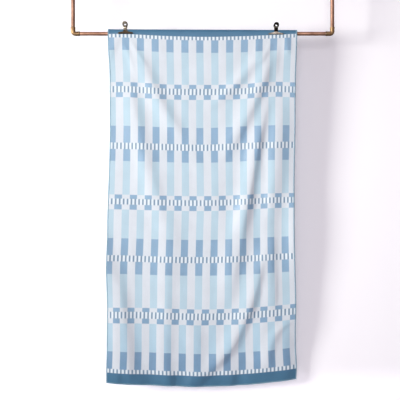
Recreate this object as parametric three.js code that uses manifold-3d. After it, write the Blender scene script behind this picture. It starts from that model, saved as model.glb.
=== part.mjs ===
import * as THREE from 'three';
import { mergeVertices } from 'three/addons/utils/BufferGeometryUtils.js';
import Module from 'manifold-3d';

// A sports towel folded over a copper pipe rail and held by two bulldog clips.
// Sizes are in millimetres. The origin lies in the plane of the ceiling, midway between the two
// droppers. X runs along the rail to the right, the towel's face looks along -Y, and Z points up.

const wasm = await Module();
wasm.setup();

const tau = 2 * Math.PI;
const mergeDistance = 1e-4;

// Copper rail
const rail = {
  dropperSpacing: 1080,
  ceilingToBar: 180,
  pipeRadius: 7.95,
  pipeSides: 24,
};

// Soldered elbow, measured from the crossing point of the two pipe axes
const elbow = {
  legLength: 26.5,
  bendRadius: 10.4,
  bodyRadius: 9.3,
  beadRadius: 10.1,
  beadLength: 3,
  beadSlope: 1.2,
  lipBevel: 0.5,
  lipBevelLength: 0.8,
  socketGap: 0.3,
  socketStop: 13.2,
  pipeEnd: 13.6,
  waterwayRadius: 7,
  bendSteps: 4,
  sides: 16,
};

// Round ceiling flange with a collar that takes the top of a dropper
const flange = {
  radius: 25,
  thickness: 4,
  collarRadius: 11,
  collarLength: 14,
  socketGap: 0.3,
  edgeBevel: 0.8,
  sides: 32,
};

// Cloth, measured flat: across from its left side, and along from its bottom hem
const towel = {
  width: 800,
  length: 1510,
  thickness: 1.2,
  columns: 36,
  hangingRows: 42,
  foldRows: 12,
  flatAtBar: 1468.2,
  barClearance: 0.35,
  foldTopLeft: 19,
  foldTopRight: 15.7,
  settleLength: 120,
  foldEase: 0.35,
  smallestRun: 0.3,
  overBarSteps: 90,
  cornerTurn: 54,
  turnStarts: 330,
};

// Places across the flat cloth that the tables of rises and drifts refer to
const across = {
  leftEdge: 0,
  leftClip: 70,
  leftMid: 235,
  centre: 400,
  rightMid: 560,
  rightClip: 700,
  rightEdge: 800,
};

// How far a weft row stands above its own level at the centre, from the bottom hem to the bar
const rises = [
  {
    along: 0,
    leftEdge: 22, leftClip: 15.8, leftMid: 6.7, centre: 0, rightMid: 3.5, rightClip: 15.6, rightEdge: 27,
  },
  {
    along: 320,
    leftEdge: 9, leftClip: 8.8, leftMid: 4.5, centre: 0, rightMid: 5.2, rightClip: 15, rightEdge: 24,
  },
  {
    along: 460,
    leftEdge: 9.2, leftClip: 7.6, leftMid: 2.5, centre: 0, rightMid: 5, rightClip: 13, rightEdge: 19.3,
  },
  {
    along: 791,
    leftEdge: 8, leftClip: 6.5, leftMid: 2, centre: 0, rightMid: 5, rightClip: 12, rightEdge: 13.5,
  },
  {
    along: 1075,
    leftEdge: 10, leftClip: 9, leftMid: 3.6, centre: 0, rightMid: 6, rightClip: 11.2, rightEdge: 12,
  },
  {
    along: 1223,
    leftEdge: 11.6, leftClip: 11.6, leftMid: 2.2, centre: 0, rightMid: 2.7, rightClip: 13, rightEdge: 10,
  },
  {
    along: 1456,
    leftEdge: 12, leftClip: 12, leftMid: 4, centre: 0, rightMid: 2.5, rightClip: 8, rightEdge: 13,
  },
];

// How far the slack in the cloth lets a warp line stand to the right of its even place
const drifts = [
  {
    along: 0,
    leftEdge: 0, leftClip: -4.2, leftMid: -5.4, centre: -4.9, rightMid: -4, rightClip: -2.6, rightEdge: 0,
  },
  {
    along: 150,
    leftEdge: 0, leftClip: -2.5, leftMid: -5.8, centre: -5.5, rightMid: -1.2, rightClip: -1.8, rightEdge: 0,
  },
  {
    along: 304,
    leftEdge: 0, leftClip: -3, leftMid: -2.5, centre: -1.2, rightMid: -0.7, rightClip: -1.2, rightEdge: 0,
  },
  {
    along: 525,
    leftEdge: 0, leftClip: 2, leftMid: 5.2, centre: 7.2, rightMid: 6.2, rightClip: 0.3, rightEdge: 0,
  },
  {
    along: 775,
    leftEdge: 0, leftClip: 3.5, leftMid: 6.4, centre: 9.4, rightMid: 7.2, rightClip: 3.7, rightEdge: 0,
  },
  {
    along: 1020,
    leftEdge: 0, leftClip: 0.8, leftMid: 1.5, centre: 2.2, rightMid: 2.8, rightClip: 0.8, rightEdge: 0,
  },
  {
    along: 1225,
    leftEdge: 0, leftClip: 0.3, leftMid: 0.7, centre: 3.3, rightMid: 4.8, rightClip: 2.2, rightEdge: 0,
  },
  {
    along: 1425,
    leftEdge: 0, leftClip: 2.2, leftMid: 2.1, centre: 4.3, rightMid: 5.9, rightClip: 5, rightEdge: 0,
  },
];

// Where the two side hems hang, from the bottom hem to the bar
const sides = [
  { along: 0, left: -397, right: 391 },
  { along: 60, left: -397, right: 393 },
  { along: 130, left: -395.5, right: 388.5 },
  { along: 210, left: -396, right: 387 },
  { along: 340, left: -396.2, right: 388 },
  { along: 480, left: -400.5, right: 384 },
  { along: 600, left: -397.2, right: 381 },
  { along: 700, left: -396, right: 380.5 },
  { along: 900, left: -389, right: 382 },
  { along: 1070, left: -385.2, right: 385.3 },
  { along: 1190, left: -386, right: 385.5 },
  { along: 1290, left: -386.8, right: 387.3 },
  { along: 1400, left: -392.8, right: 391 },
  { along: 1510, left: -394, right: 393.5 },
];

// Soft folds in the hanging cloth. Each row gives the crest of one fold, from its top through a
// point halfway down to its end, as flat places across and along. Height is towards the viewer,
// and left and right are the widths of the flanks on the two sides of the crest.
const folds = {
  leftClipToCentre: { top: [84, 1450], mid: [204, 1200], end: [350, 950], height: 7.5, left: 46, right: 34 },
  leftClipDown: { top: [60, 1400], mid: [120, 1060], end: [256, 580], height: 7.5, left: 50, right: 36 },
  rightUpperSweep: { top: [690, 1440], mid: [576, 1300], end: [410, 1130], height: 8, left: 40, right: 34 },
  rightLongSweep: { top: [712, 1440], mid: [622, 1190], end: [465, 900], height: 11.5, left: 46, right: 30 },
  rightClipDown: { top: [690, 1240], mid: [632, 990], end: [552, 560], height: 12.5, left: 42, right: 22 },
  centreRightLower: { top: [612, 860], mid: [552, 580], end: [500, 280], height: 9, left: 50, right: 32 },
  rightSideUpper: { top: [728, 1260], mid: [714, 900], end: [668, 520], height: 10, left: 36, right: 44 },
  rightSideLower: { top: [704, 680], mid: [694, 460], end: [692, 250], height: 9, left: 40, right: 24 },
  rightHemForward: { top: [800, 860], mid: [800, 610], end: [800, 380], height: 9, left: 34, right: 40 },
  leftHemForward: { top: [-14, 660], mid: [0, 520], end: [12, 400], height: 6, left: 24, right: 26 },
  leftSideLower: { top: [-6, 600], mid: [56, 330], end: [114, -160], height: 14, left: 110, right: 40 },
  lowerLeftSecond: { top: [250, 520], mid: [248, 170], end: [248, -160], height: 7, left: 40, right: 34 },
  leftOfCentre: { top: [258, 780], mid: [256, 580], end: [250, 350], height: 5, left: 42, right: 38 },
  lowerSweep: { top: [684, 620], mid: [546, 200], end: [290, -80], height: 15, left: 50, right: 24 },
  lowerCentre: { top: [372, 330], mid: [376, 120], end: [380, -120], height: 6, left: 40, right: 38 },
  lowerRightRim: { top: [840, 280], mid: [722, 212], end: [668, 40], height: 8, left: 30, right: 22 },
  lowerRightCorner: { top: [684, 360], mid: [676, 150], end: [672, -160], height: 9, left: 60, right: 96 },
  lowerRight: { top: [756, 300], mid: [752, 110], end: [752, -160], height: 4, left: 34, right: 30 },
};

// Bulldog clip. Each row is one section of the bent jaw plate, from the rolled lip up to the
// round head: distance out from the bar's axis, height above it, and half the plate's width.
const clip = {
  plate: 1,
  sections: [
    { out: 13.3, rise: 0.6, half: 30.6 },
    { out: 14, rise: -1, half: 31 },
    { out: 13.2, rise: -2.7, half: 31.2 },
    { out: 11.6, rise: -3, half: 31.3 },
    { out: 10.5, rise: -1.7, half: 31.2 },
    { out: 10.3, rise: 0.6, half: 30.7 },
    { out: 10.25, rise: 2, half: 29.4 },
    { out: 10.2, rise: 3.3, half: 23 },
    { out: 10.15, rise: 4.6, half: 14.5 },
    { out: 9.95, rise: 6.4, half: 10 },
    { out: 9.5, rise: 9.2, half: 8.5 },
    { out: 8.6, rise: 12.4, half: 7.8 },
    { out: 7.1, rise: 16.4, half: 7.6 },
    { out: 5.65, rise: 20.6, half: 7.6 },
    { out: 5.6, rise: 24, half: 8 },
    { out: 6.8, rise: 27.8, half: 9 },
    { out: 8.5, rise: 32, half: 10.4 },
    { out: 10.3, rise: 36.2, half: 11 },
    { out: 11.9, rise: 40.2, half: 10.4 },
    { out: 13.2, rise: 43.6, half: 8.4 },
    { out: 14.1, rise: 46.2, half: 5.4 },
    { out: 14.5, rise: 47.3, half: 2.4 },
  ],
  holeRise: 36.6,
  holeRadius: 5.6,
  holeLength: 30,
  holeSides: 20,
};

// The spring of a clip is a close coil between the two necks
const spring = {
  rise: 22.9,
  radius: 4.6,
  length: 14.4,
  turns: 6,
  groove: 0.5,
  sides: 14,
};

// One row for each clip: its place along the bar, how much higher than the bar's axis it sits,
// and how far its head leans along the bar
const clips = [
  { side: 'left', x: -321, raise: 2.4, lean: -3 },
  { side: 'right', x: 304.5, raise: -1.6, lean: 2.5 },
];

const copper = new THREE.MeshStandardMaterial({ color: '#c08a6c', metalness: 1, roughness: 0.34 });
const solderedBrass = new THREE.MeshStandardMaterial({ color: '#9c8458', metalness: 1, roughness: 0.38 });
const agedBrass = new THREE.MeshStandardMaterial({ color: '#6e6250', metalness: 1, roughness: 0.42 });
const springSteel = new THREE.MeshStandardMaterial({ color: '#4b4843', metalness: 1, roughness: 0.4 });
const microfibre = new THREE.MeshStandardMaterial({ color: '#c6dbe8', metalness: 0, roughness: 0.92 });

// Smooth curve through the values at the knots, level with its end values beyond them
function curveThrough(knots, values) {
  const last = knots.length - 1;
  const slopes = values.map((value, i) => {
    const before = Math.max(i - 1, 0);
    const after = Math.min(i + 1, last);
    return (values[after] - values[before]) / (knots[after] - knots[before]);
  });
  return (at) => {
    if (at <= knots[0]) return values[0];
    if (at >= knots[last]) return values[last];
    const i = knots.findIndex((knot) => at < knot) - 1;
    const span = knots[i + 1] - knots[i];
    const t = (at - knots[i]) / span;
    const back = 1 - t;
    return values[i] * back * back * (1 + 2 * t) + slopes[i] * span * t * back * back
      + values[i + 1] * t * t * (3 - 2 * t) - slopes[i + 1] * span * t * t * back;
  };
}

function smoothStep(t) {
  const clamped = THREE.MathUtils.clamp(t, 0, 1);
  return clamped * clamped * (3 - 2 * clamped);
}

// Reads a table by places across and rows along at any flat point
function overCloth(table) {
  const places = Object.keys(across);
  const rows = table.map((row) => curveThrough(Object.values(across), places.map((place) => row[place])));
  const levels = table.map((row) => row.along);
  return (x, y) => curveThrough(levels, rows.map((row) => row(x)))(y);
}

const riseAt = overCloth(rises);
const driftAt = overCloth(drifts);
const leftSideAt = curveThrough(sides.map((row) => row.along), sides.map((row) => row.left));
const rightSideAt = curveThrough(sides.map((row) => row.along), sides.map((row) => row.right));

// Low down, the cloth turns about its own upright line: the left corner hangs forward, the right one back
function turnDepth(x, y) {
  return towel.cornerTurn * (0.5 - x / towel.width) * smoothStep(1 - y / towel.turnStarts);
}

// How far the folds and the turned corners together push a flat point towards the viewer
function foldDepth(x, y) {
  let depth = 0;
  for (const { top, mid, end, height, left, right } of Object.values(folds)) {
    const t = (top[1] - y) / (top[1] - end[1]);
    if (t <= 0 || t >= 1) continue;
    const crest = curveThrough([end[1], mid[1], top[1]], [end[0], mid[0], top[0]])(y);
    const width = x < crest ? left : right;
    const swell = smoothStep(t / towel.foldEase) * smoothStep((1 - t) / towel.foldEase);
    depth += height * swell * Math.exp(-(((x - crest) / width) ** 2));
  }
  const belowBar = towel.flatAtBar - riseAt(x, towel.flatAtBar) - y;
  return depth * smoothStep(belowBar / towel.settleLength) + turnDepth(x, y);
}

// Places across for one weft row: the cloth keeps its width along the folds, between the two sides,
// and its slack is shared out by the table of drifts
function spreadRow(flats) {
  const places = [0];
  for (let i = 1; i < flats.length; i += 1) {
    const dx = flats[i].x - flats[i - 1].x;
    const dDepth = foldDepth(flats[i].x, flats[i].y) - foldDepth(flats[i - 1].x, flats[i - 1].y);
    const run = Math.sqrt(Math.max(dx * dx - dDepth * dDepth, 0));
    places.push(places[i - 1] + Math.max(run, towel.smallestRun));
  }
  const left = leftSideAt(flats[0].y);
  const right = rightSideAt(flats.at(-1).y);
  return places.map((place, i) => {
    const even = left + (place / places.at(-1)) * (right - left);
    return even + driftAt(flats[i].x, flats[i].y);
  });
}

// Walks up the front of the bar, over it and down behind it, and returns depth and height from its axis
function overBar(distance, halfDepth, height) {
  let walked = 0;
  let at = new THREE.Vector2(-halfDepth, 0);
  for (let i = 1; i <= towel.overBarSteps; i += 1) {
    const angle = (i / towel.overBarSteps) * Math.PI;
    const next = new THREE.Vector2(-halfDepth * Math.cos(angle), height * Math.sin(angle));
    const length = next.distanceTo(at);
    if (walked + length >= distance) return at.lerp(next, (distance - walked) / length);
    walked += length;
    at = next;
  }
  return new THREE.Vector2(halfDepth, walked - distance);
}

// Middle surface of the cloth as rows of points, from the bottom hem to the edge behind the bar
function clothRows() {
  const halfDepth = rail.pipeRadius + towel.barClearance + towel.thickness / 2;
  const barHeight = -rail.ceilingToBar;
  const columns = Array.from({ length: towel.columns + 1 }, (_, i) => (i / towel.columns) * towel.width);
  const flatAtFront = columns.map((x) => towel.flatAtBar - riseAt(x, towel.flatAtBar));
  const rows = [];
  for (let j = 0; j <= towel.hangingRows; j += 1) {
    const flats = columns.map((x, i) => ({ x, y: (j / towel.hangingRows) * flatAtFront[i] }));
    const places = spreadRow(flats);
    rows.push(flats.map(({ x, y }, i) => {
      const level = barHeight - (towel.flatAtBar - y) + riseAt(x, y);
      return new THREE.Vector3(places[i], -halfDepth - foldDepth(x, y), level);
    }));
  }
  for (let j = 1; j <= towel.foldRows; j += 1) {
    rows.push(columns.map((x, i) => {
      const left = towel.foldTopLeft - towel.thickness / 2;
      const right = towel.foldTopRight - towel.thickness / 2;
      const height = THREE.MathUtils.lerp(left, right, x / towel.width);
      const distance = (j / towel.foldRows) * (towel.length - flatAtFront[i]);
      const point = overBar(distance, halfDepth, height);
      return new THREE.Vector3(rows[towel.hangingRows][i].x, point.x, barHeight + point.y);
    }));
  }
  return rows;
}

// Gives a surface of rows of points a thickness and closes its rim
function thicken(rows, thickness) {
  const rowCount = rows.length;
  const columnCount = rows[0].length;
  const front = [];
  const back = [];
  for (let j = 0; j < rowCount; j += 1) {
    for (let i = 0; i < columnCount; i += 1) {
      const acrossCloth = new THREE.Vector3().subVectors(
        rows[j][Math.min(i + 1, columnCount - 1)],
        rows[j][Math.max(i - 1, 0)],
      );
      const upCloth = new THREE.Vector3().subVectors(
        rows[Math.min(j + 1, rowCount - 1)][i],
        rows[Math.max(j - 1, 0)][i],
      );
      const out = acrossCloth.cross(upCloth).normalize().multiplyScalar(thickness / 2);
      front.push(rows[j][i].clone().add(out));
      back.push(rows[j][i].clone().sub(out));
    }
  }
  const count = rowCount * columnCount;
  const indices = [];
  const quad = (a, b, c, d) => indices.push(a, b, c, a, c, d);
  for (let j = 0; j < rowCount - 1; j += 1) {
    for (let i = 0; i < columnCount - 1; i += 1) {
      const a = j * columnCount + i;
      const b = a + 1;
      const c = b + columnCount;
      const d = a + columnCount;
      quad(a, b, c, d);
      quad(count + a, count + d, count + c, count + b);
    }
  }
  for (let i = 0; i < columnCount - 1; i += 1) {
    const top = (rowCount - 1) * columnCount + i;
    quad(i, count + i, count + i + 1, i + 1);
    quad(top, top + 1, count + top + 1, count + top);
  }
  for (let j = 0; j < rowCount - 1; j += 1) {
    const left = j * columnCount;
    const right = left + columnCount - 1;
    quad(left, left + columnCount, count + left + columnCount, count + left);
    quad(right, count + right, count + right + columnCount, right + columnCount);
  }
  const geometry = new THREE.BufferGeometry();
  const places = [...front, ...back].flatMap((point) => point.toArray());
  geometry.setAttribute('position', new THREE.Float32BufferAttribute(places, 3));
  geometry.setIndex(indices);
  return geometry;
}

// Joins closed loops of points, one after the other, into one skin. The last loop meets the first
// when ring is true, and otherwise both ends are capped.
function skin(loops, ring) {
  const sides = loops[0].length;
  const indices = [];
  const spans = ring ? loops.length : loops.length - 1;
  for (let j = 0; j < spans; j += 1) {
    for (let i = 0; i < sides; i += 1) {
      const a = j * sides + i;
      const b = j * sides + ((i + 1) % sides);
      const c = ((j + 1) % loops.length) * sides + ((i + 1) % sides);
      const d = ((j + 1) % loops.length) * sides + i;
      indices.push(a, b, c, a, c, d);
    }
  }
  if (!ring) {
    const last = (loops.length - 1) * sides;
    for (let i = 1; i < sides - 1; i += 1) {
      indices.push(0, i + 1, i, last, last + i, last + i + 1);
    }
  }
  const geometry = new THREE.BufferGeometry();
  const places = loops.flat().flatMap((point) => point.toArray());
  geometry.setAttribute('position', new THREE.Float32BufferAttribute(places, 3));
  geometry.setIndex(indices);
  return geometry;
}

// Turns every face of a geometry over
function turnOver(geometry) {
  const { array } = geometry.index;
  for (let i = 0; i < array.length; i += 3) {
    [array[i + 1], array[i + 2]] = [array[i + 2], array[i + 1]];
  }
  return geometry;
}

function toSolid(geometry) {
  const bare = geometry.clone();
  bare.deleteAttribute('normal');
  bare.deleteAttribute('uv');
  const merged = mergeVertices(bare, mergeDistance);
  return new wasm.Manifold(new wasm.Mesh({
    numProp: 3,
    vertProperties: Float32Array.from(merged.attributes.position.array),
    triVerts: Uint32Array.from(merged.index.array),
  }));
}

function toGeometry(solid) {
  const mesh = solid.getMesh();
  const geometry = new THREE.BufferGeometry();
  geometry.setAttribute('position', new THREE.BufferAttribute(mesh.vertProperties, 3));
  geometry.setIndex(new THREE.BufferAttribute(mesh.triVerts, 1));
  return geometry;
}

// One corner fitting with a vertical leg up and a horizontal leg towards hand, 1 for +X and -1 for -X
function elbowGeometry(hand) {
  const { legLength, bendRadius, bodyRadius, beadRadius, beadLength } = elbow;
  const boreRadius = rail.pipeRadius + elbow.socketGap;
  const loops = [];
  // A place is either a distance along the upper or lower leg, or a share of the bend's turn
  const addLoop = (along, radius) => {
    const centre = new THREE.Vector3();
    const outward = new THREE.Vector3();
    if (along.leg) {
      const upright = along.leg === 'upper';
      centre.set(upright ? 0 : hand * along.at, 0, upright ? along.at : 0);
      outward.set(upright ? -hand : 0, 0, upright ? 0 : -1);
    } else {
      const angle = along.turn * (Math.PI / 2);
      outward.set(-hand * Math.cos(angle), 0, -Math.sin(angle));
      centre.set(hand * bendRadius, 0, bendRadius).addScaledVector(outward, bendRadius);
    }
    loops.push(Array.from({ length: elbow.sides }, (_, i) => {
      const angle = (i / elbow.sides) * tau;
      return centre.clone()
        .addScaledVector(outward, radius * Math.cos(angle))
        .add(new THREE.Vector3(0, radius * Math.sin(angle), 0));
    }));
  };
  const outerLeg = [
    [legLength, beadRadius - elbow.lipBevel],
    [legLength - elbow.lipBevelLength, beadRadius],
    [legLength - beadLength, beadRadius],
    [legLength - beadLength - elbow.beadSlope, bodyRadius],
  ];
  const innerLeg = [
    [elbow.socketStop, elbow.waterwayRadius],
    [elbow.socketStop, boreRadius],
    [legLength, boreRadius],
  ];
  const turns = Array.from({ length: elbow.bendSteps + 1 }, (_, i) => i / elbow.bendSteps);
  outerLeg.forEach(([at, radius]) => addLoop({ leg: 'upper', at }, radius));
  turns.forEach((turn) => addLoop({ turn }, bodyRadius));
  outerLeg.toReversed().forEach(([at, radius]) => addLoop({ leg: 'lower', at }, radius));
  innerLeg.toReversed().forEach(([at, radius]) => addLoop({ leg: 'lower', at }, radius));
  turns.toReversed().forEach((turn) => addLoop({ turn }, elbow.waterwayRadius));
  innerLeg.forEach(([at, radius]) => addLoop({ leg: 'upper', at }, radius));
  const geometry = skin(loops, true);
  return hand > 0 ? geometry : turnOver(geometry);
}

function flangeGeometry() {
  const { radius, thickness, collarRadius, collarLength, edgeBevel } = flange;
  const socketRadius = rail.pipeRadius + flange.socketGap;
  const collarEnd = -thickness - collarLength;
  const profile = [
    [0, -thickness],
    [socketRadius, -thickness],
    [socketRadius, collarEnd],
    [collarRadius, collarEnd],
    [collarRadius, -thickness],
    [radius - edgeBevel, -thickness],
    [radius, -thickness + edgeBevel],
    [radius, -edgeBevel],
    [radius - edgeBevel, 0],
    [0, 0],
  ].map(([fromAxis, height]) => new THREE.Vector2(fromAxis, height));
  return new THREE.LatheGeometry(profile, flange.sides).rotateX(Math.PI / 2);
}

// Jaw plate of a clip. facing is -1 for the jaw in front of the bar and 1 for the one behind it.
function jawGeometry(facing, lean) {
  const { sections, plate } = clip;
  const loops = sections.map((section, i) => {
    const before = sections[Math.max(i - 1, 0)];
    const after = sections[Math.min(i + 1, sections.length - 1)];
    const run = new THREE.Vector2(after.out - before.out, after.rise - before.rise).normalize();
    const shift = (lean * Math.max(section.rise, 0)) / sections.at(-1).rise;
    const corner = (width, side) => new THREE.Vector3(
      shift + width * section.half,
      facing * (section.out + (side * plate * run.y) / 2),
      section.rise - (side * plate * run.x) / 2,
    );
    return [corner(-1, 1), corner(1, 1), corner(1, -1), corner(-1, -1)];
  });
  const geometry = facing < 0 ? skin(loops, false) : turnOver(skin(loops, false));
  const drill = new THREE.CylinderGeometry(clip.holeRadius, clip.holeRadius, clip.holeLength, clip.holeSides);
  drill.translate(lean * (clip.holeRise / sections.at(-1).rise), facing * clip.holeLength / 2, clip.holeRise);
  return toGeometry(toSolid(geometry).subtract(toSolid(drill)));
}

function springGeometry() {
  const { radius, length, turns, groove, sides } = spring;
  const profile = [new THREE.Vector2(0, -length / 2)];
  for (let i = 0; i < turns; i += 1) {
    const start = -length / 2 + (i / turns) * length;
    const pitch = length / turns;
    profile.push(new THREE.Vector2(radius - groove, start));
    profile.push(new THREE.Vector2(radius, start + pitch / 3));
    profile.push(new THREE.Vector2(radius, start + (2 * pitch) / 3));
  }
  profile.push(new THREE.Vector2(radius - groove, length / 2), new THREE.Vector2(0, length / 2));
  return new THREE.LatheGeometry(profile, sides).rotateZ(-Math.PI / 2);
}

const part = new THREE.Group();

function addPiece(name, geometry, material, position = new THREE.Vector3()) {
  const mesh = new THREE.Mesh(geometry, material);
  mesh.name = name;
  mesh.position.copy(position);
  part.add(mesh);
}

function pipeGeometry(length) {
  return new THREE.CylinderGeometry(rail.pipeRadius, rail.pipeRadius, length, rail.pipeSides);
}

function addRail() {
  const barLength = rail.dropperSpacing - 2 * elbow.pipeEnd;
  const dropperTop = -flange.thickness - flange.socketGap;
  const dropperBottom = -rail.ceilingToBar + elbow.pipeEnd;
  const barCentre = new THREE.Vector3(0, 0, -rail.ceilingToBar);
  addPiece('rail_bar', pipeGeometry(barLength).rotateZ(Math.PI / 2), copper, barCentre);
  for (const [side, hand] of [['left', 1], ['right', -1]]) {
    const x = (-hand * rail.dropperSpacing) / 2;
    const dropper = pipeGeometry(dropperTop - dropperBottom).rotateX(Math.PI / 2);
    addPiece(`dropper_${side}`, dropper, copper, new THREE.Vector3(x, 0, (dropperTop + dropperBottom) / 2));
    const corner = new THREE.Vector3(x, 0, -rail.ceilingToBar);
    addPiece(`elbow_${side}`, elbowGeometry(hand), solderedBrass, corner);
    addPiece(`flange_${side}`, flangeGeometry(), copper, new THREE.Vector3(x, 0, 0));
  }
}

function addClips() {
  for (const { side, x, raise, lean } of clips) {
    const onBar = new THREE.Vector3(x, 0, raise - rail.ceilingToBar);
    const shift = (lean * spring.rise) / clip.sections.at(-1).rise;
    addPiece(`clip_${side}_front`, jawGeometry(-1, lean), agedBrass, onBar);
    addPiece(`clip_${side}_back`, jawGeometry(1, lean), agedBrass, onBar);
    const betweenNecks = onBar.clone().add(new THREE.Vector3(shift, 0, spring.rise));
    addPiece(`spring_${side}`, springGeometry(), springSteel, betweenNecks);
  }
}

addPiece('towel', thicken(clothRows(), towel.thickness), microfibre);
addRail();
addClips();

export default part;
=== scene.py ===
import math

import bmesh
import bpy
import numpy as np
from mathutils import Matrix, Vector, noise


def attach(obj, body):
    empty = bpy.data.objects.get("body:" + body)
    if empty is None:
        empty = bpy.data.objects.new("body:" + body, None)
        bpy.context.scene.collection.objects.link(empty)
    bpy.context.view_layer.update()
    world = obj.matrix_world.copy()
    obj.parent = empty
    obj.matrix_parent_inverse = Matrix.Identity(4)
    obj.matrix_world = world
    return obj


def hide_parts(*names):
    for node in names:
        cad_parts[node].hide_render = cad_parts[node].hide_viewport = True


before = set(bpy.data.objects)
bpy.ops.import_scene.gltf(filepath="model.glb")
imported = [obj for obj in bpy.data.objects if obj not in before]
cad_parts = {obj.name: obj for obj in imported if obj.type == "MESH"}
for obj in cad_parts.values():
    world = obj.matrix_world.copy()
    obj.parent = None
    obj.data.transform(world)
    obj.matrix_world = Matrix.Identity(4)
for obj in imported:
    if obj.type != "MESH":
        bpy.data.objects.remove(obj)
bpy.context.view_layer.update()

# a patterned towel folded over a copper rail and held by two bulldog clips
# shapes are worked out in millimetres, as in the solids, and written to meshes in metres
mm = 0.001
scene = bpy.context.scene
print("frame loaded:", len(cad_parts), "nodes")


# small helpers for shapes

def curveThrough(knots, values, at):  # smooth curve, level beyond its ends
    knots = np.asarray(knots, float)
    values = np.asarray(values, float)
    at = np.asarray(at, float)
    last = len(knots) - 1
    slopes = np.empty_like(values)
    for i in range(last + 1):
        before, after = max(i - 1, 0), min(i + 1, last)
        slopes[i] = (values[after] - values[before]) / (knots[after] - knots[before])
    i = np.clip(np.searchsorted(knots, at, side="right") - 1, 0, last - 1)
    span = knots[i + 1] - knots[i]
    t = np.clip((at - knots[i]) / span, 0, 1)
    back = 1 - t

    def pick(table, k):
        return table[k] if table.ndim == 1 else np.take_along_axis(table, k[None], 0)[0]

    return (pick(values, i) * back * back * (1 + 2 * t) + pick(slopes, i) * span * t * back * back
            + pick(values, i + 1) * t * t * (3 - 2 * t) - pick(slopes, i + 1) * span * t * t * back)


def smoothStep(t):
    t = np.clip(t, 0, 1)
    return t * t * (3 - 2 * t)


def column(rows, name):
    return [row[name] for row in rows]


def smoothAll(mesh):
    mesh.polygons.foreach_set("use_smooth", [True] * len(mesh.polygons))


def newMesh(name, points, faces):  # points in millimetres
    mesh = bpy.data.meshes.new(name)
    mesh.from_pydata([tuple(mm * c for c in point) for point in points], [], faces)
    mesh.validate()
    smoothAll(mesh)
    mesh.update()
    piece = bpy.data.objects.new(name, mesh)
    scene.collection.objects.link(piece)
    return piece


def sharpenBy(piece, degrees):  # flat across edges turned more than this
    mesh = piece.data
    work = bmesh.new()
    work.from_mesh(mesh)
    for edge in work.edges:
        if len(edge.link_faces) == 2:
            edge.smooth = edge.calc_face_angle() < math.radians(degrees)
    work.to_mesh(mesh)
    work.free()


def applyModifiers(piece):  # turns the evaluated shape into the piece's own mesh
    evaluated = piece.evaluated_get(bpy.context.evaluated_depsgraph_get())
    mesh = bpy.data.meshes.new_from_object(evaluated)
    piece.modifiers.clear()
    old = piece.data
    piece.data = mesh
    mesh.name = piece.name
    if old.users == 0:
        bpy.data.meshes.remove(old)


def settle(piece, material, slot, *nodes):  # finish, body and the nodes that the piece stands for
    if material is not None:
        piece.data.materials.clear()
        piece.data.materials.append(material)
    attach(piece, "root")
    if nodes:
        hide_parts(*nodes)
    return piece


def skin(loops, ring=False):  # joins loops of points; ring closes the last on the first
    sides = len(loops[0])
    points = [point for loop in loops for point in loop]
    faces = []
    for j in range(len(loops) if ring else len(loops) - 1):
        k = (j + 1) % len(loops)
        for i in range(sides):
            n = (i + 1) % sides
            faces.append((j * sides + i, j * sides + n, k * sides + n, k * sides + i))
    if not ring:
        faces.append(tuple(reversed(range(sides))))
        faces.append(tuple(range((len(loops) - 1) * sides, len(loops) * sides)))
    return points, faces


def turnedOut(piece):  # faces point outwards, after doubles are merged
    work = bmesh.new()
    work.from_mesh(piece.data)
    bmesh.ops.remove_doubles(work, verts=work.verts, dist=1e-7)
    bmesh.ops.recalc_face_normals(work, faces=work.faces)
    work.to_mesh(piece.data)
    work.free()
    return piece


def turnProfile(name, profile, sides, place, along="Z"):  # profile rows are (radius, height)
    loops = []
    for radius, height in profile:
        loop = []
        for i in range(sides):
            angle = 2 * math.pi * i / sides
            a, b = radius * math.cos(angle), radius * math.sin(angle)
            turned = {"X": (height, a, b), "Y": (a, height, b), "Z": (a, b, height)}[along]
            loop.append(tuple(p + q for p, q in zip(turned, place)))
        loops.append(loop)
    return turnedOut(newMesh(name, *skin(loops)))


# small helpers for materials

def addNode(tree, kind, inputs=None, **settings):
    made = tree.nodes.new(kind)
    for name, value in settings.items():
        setattr(made, name, value)
    for key, value in (inputs or {}).items():
        if isinstance(value, bpy.types.NodeSocket):
            tree.links.new(value, made.inputs[key])
        else:
            made.inputs[key].default_value = value
    return made


def doMath(tree, operation, *values, clamp=False):
    made = addNode(tree, "ShaderNodeMath", dict(enumerate(values)), operation=operation, use_clamp=clamp)
    return made.outputs[0]


def mapRange(tree, value, low, high, toLow=0.0, toHigh=1.0, **settings):
    inputs = {"Value": value, "From Min": low, "From Max": high, "To Min": toLow, "To Max": toHigh}
    return addNode(tree, "ShaderNodeMapRange", inputs, **settings).outputs[0]


def mixColour(tree, factor, a, b):
    return addNode(tree, "ShaderNodeMix", {0: factor, 6: a, 7: b}, data_type="RGBA").outputs[2]


def mixNumber(tree, factor, a, b):
    return addNode(tree, "ShaderNodeMix", {0: factor, 2: a, 3: b}, data_type="FLOAT").outputs[0]


def noiseAt(tree, place, scale, detail, **inputs):
    inputs = {"Vector": place, "Scale": scale, "Detail": detail, **inputs}
    return addNode(tree, "ShaderNodeTexNoise", inputs).outputs[0]


def objectPlace(tree):
    return addNode(tree, "ShaderNodeTexCoord").outputs["Object"]


def relief(tree, shader, height, strength, distance):
    bumped = addNode(tree, "ShaderNodeBump", {"Height": height, "Strength": strength, "Distance": distance})
    tree.links.new(bumped.outputs[0], shader.inputs["Normal"])


def dimmed(colour, share):
    return tuple(share * c for c in colour[:3]) + (1.0,)


def linear(r, g, b):  # screen colour out of 255, as the shader wants it
    def one(c):
        c /= 255
        return c / 12.92 if c <= 0.04045 else ((c + 0.055) / 1.055) ** 2.4
    return one(r), one(g), one(b), 1.0


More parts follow.
